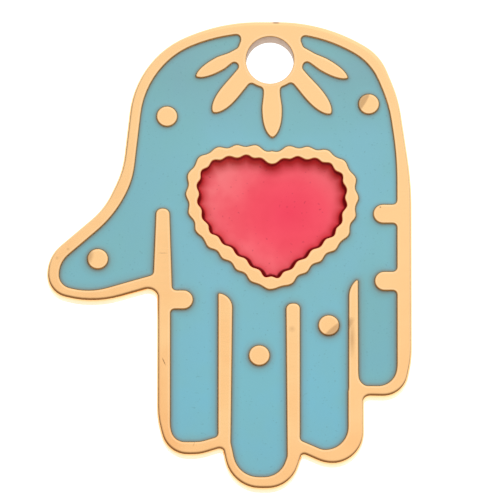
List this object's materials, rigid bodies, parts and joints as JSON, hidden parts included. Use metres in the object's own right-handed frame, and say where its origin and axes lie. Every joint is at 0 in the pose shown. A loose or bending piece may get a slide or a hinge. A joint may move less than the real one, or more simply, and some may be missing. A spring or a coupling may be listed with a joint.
{
  "type": "hamsa pendant",
  "caption": "Flat hand-shaped pendant with fingers down, a hanging hole, turquoise enamel between raised gold lines and a deep red enamel heart in a scalloped frame.",
  "frame": {"origin": "on the plane of the back, under the middle of the hand's width and height", "axes": "+Z out of the enamelled face, +Y from the fingertips to the hanging hole, +X from the thumb to the little finger"},
  "size_m": [0.019, 0.0248, 0.0016],
  "materials": {
    "gold_plated_brass": "polished pink-gold plating",
    "turquoise_enamel": "opaque glossy enamel",
    "red_enamel": "translucent glossy enamel over bright metal"
  },
  "bodies": {
    "root": {"gold_plate": "gold_plated_brass", "turquoise_enamel": "turquoise_enamel", "heart_enamel": "red_enamel"}
  },
  "joints": []
}
